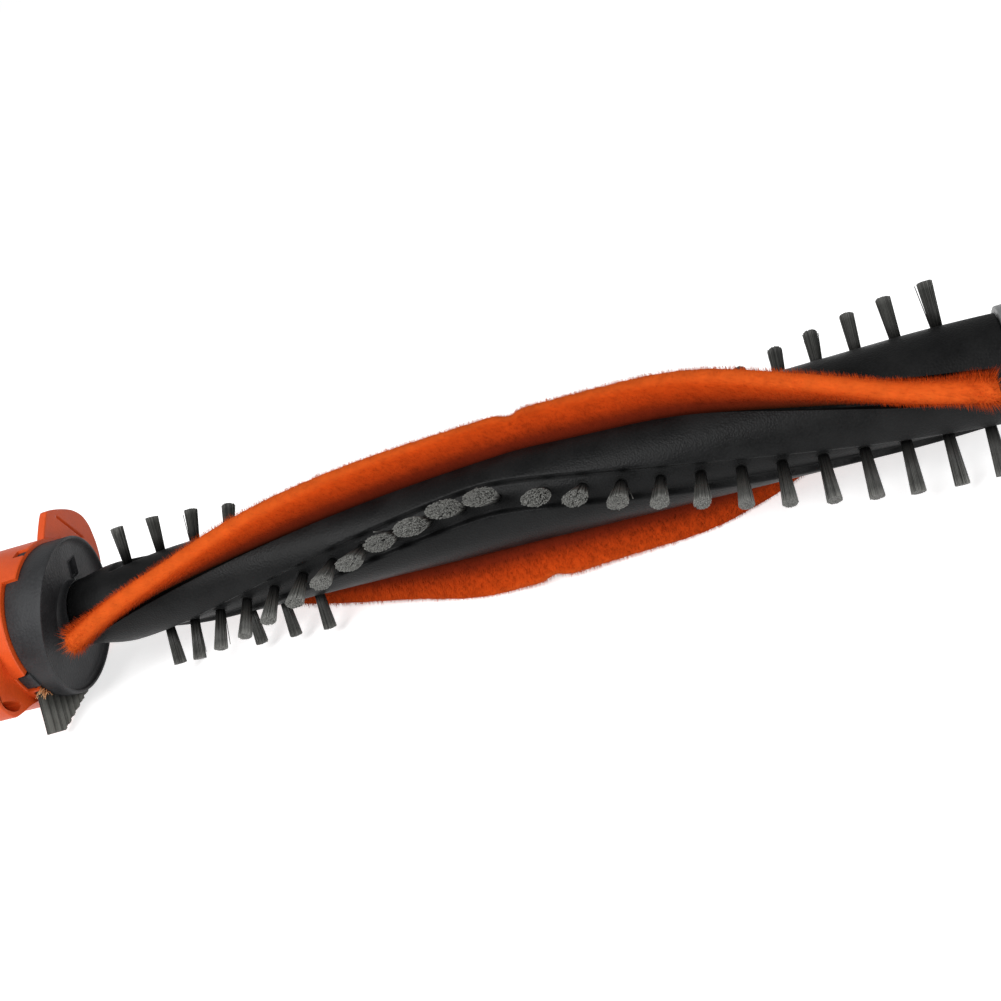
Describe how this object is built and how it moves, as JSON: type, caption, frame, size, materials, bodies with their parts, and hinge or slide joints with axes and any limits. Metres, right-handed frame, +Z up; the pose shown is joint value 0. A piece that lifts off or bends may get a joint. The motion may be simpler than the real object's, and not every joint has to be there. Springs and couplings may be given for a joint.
{
  "type": "vacuum roller brush",
  "caption": "Tapered vacuum roller brush with twisted pile strips, rows of bristle tufts, a clip-in end cap with an edge brush, and a drive socket.",
  "frame": {"origin": "centre of the bounding box at the floor that the brush lies on", "axes": "+X along the roller's axis towards the drive end, +Z up from the floor, -Y towards the side that is seen"},
  "size_m": [0.297, 0.0692, 0.0477],
  "materials": {
    "roller_core": "satin",
    "black_plastic": "satin",
    "orange_plastic": "semi-gloss",
    "orange_pile": "plush",
    "bristle": "fibrous",
    "steel": "turned",
    "bronze": "sintered",
    "nylon": "plain",
    "light_grey": "satin"
  },
  "bodies": {
    "end_cap_assembly": {"end_cap": "orange_plastic", "end_plate": "black_plastic", "edge_brush": "bristle", "bearing_bush": "bronze", "thrust_washer": "nylon"},
    "roller": {"roller_core": "roller_core", "stub_axle": "steel", "retaining_clip": "steel", "drive_end_ring": "light_grey", "drive_socket": "black_plastic", "pile_strip_left_front": "orange_pile", "pile_strip_left_rear": "orange_pile", "pile_strip_right_front": "orange_pile", "pile_strip_right_rear": "orange_pile", "bristle_row_a_left": "bristle", "bristle_row_a_right": "bristle", "bristle_row_b_left": "bristle", "bristle_row_b_right": "bristle", "short_row": "bristle", "clip_washer": "steel"}
  },
  "joints": [
    {"name": "roller_spin", "type": "hinge", "parent": "end_cap_assembly", "child": "roller", "pos_m": [-0.1246, -0.00017, 0.02335], "axis": [1, 0, 0], "continuous": true}
  ]
}
